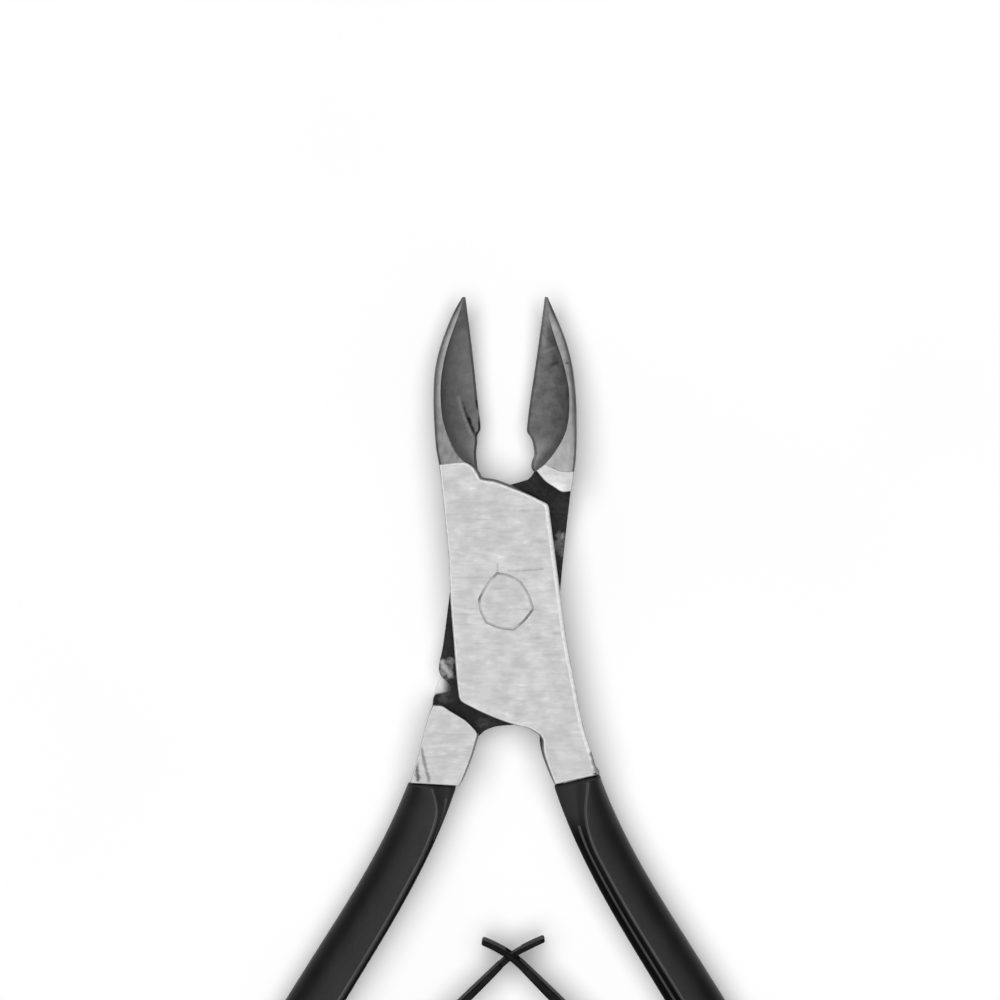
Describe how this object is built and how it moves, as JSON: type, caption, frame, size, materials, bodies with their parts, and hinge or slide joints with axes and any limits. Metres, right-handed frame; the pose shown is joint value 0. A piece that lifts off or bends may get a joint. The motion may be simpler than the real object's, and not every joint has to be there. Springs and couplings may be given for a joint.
{
  "type": "cuticle nipper",
  "caption": "Lap-jointed cuticle nipper with hollow-ground jaws, black vinyl grips and crossed double leaf springs, resting open.",
  "frame": {"origin": "pivot axis at the back face of the joint, the face that the tool lies on", "axes": "+Y towards the jaws, +Z along the pivot axis out of the front face, +X towards the handle of the front half; the tool is open as its springs hold it"},
  "size_m": [0.0518, 0.1114, 0.0056],
  "materials": {
    "ground_steel": "fine-ground satin on the flat faces, darker polished hollow in the jaws, black oxide in the recesses",
    "rivet_steel": "ground flush with the faces",
    "black_vinyl": "satin black dipped vinyl",
    "black_spring": "blackened spring steel, satin",
    "screw_steel": "turned steel, satin"
  },
  "bodies": {
    "front_half": {"front_half": "ground_steel", "pivot_rivet": "rivet_steel", "right_grip": "black_vinyl", "right_spring_root": "black_spring", "right_spring_screw": "screw_steel"},
    "rear_half": {"rear_half": "ground_steel", "left_grip": "black_vinyl", "left_spring_root": "black_spring", "left_spring_screw": "screw_steel"},
    "right_spring": {"right_spring_leaf": "black_spring"},
    "left_spring": {"left_spring_leaf": "black_spring"}
  },
  "joints": [
    {"name": "pivot", "type": "hinge", "parent": "front_half", "child": "rear_half", "pos_m": [0, 0, 0.0028], "axis": [0, 0, 1], "range_deg": [-2.5, 14.8], "stiffness_Nm_per_rad": 1},
    {"name": "right_spring_flex", "type": "hinge", "parent": "front_half", "child": "right_spring", "pos_m": [0.01837, -0.05076, 0.0028], "axis": [0, 0, 1], "range_deg": [-10.8, 2.2]},
    {"name": "left_spring_flex", "type": "hinge", "parent": "rear_half", "child": "left_spring", "pos_m": [-0.01834, -0.0507, 0.0028], "axis": [0, 0, 1], "range_deg": [-2, 9.6]}
  ],
  "couplings": [
    {"joint": "right_spring_flex", "follows": "pivot", "ratio": -0.7},
    {"joint": "left_spring_flex", "follows": "pivot", "ratio": 0.615}
  ]
}
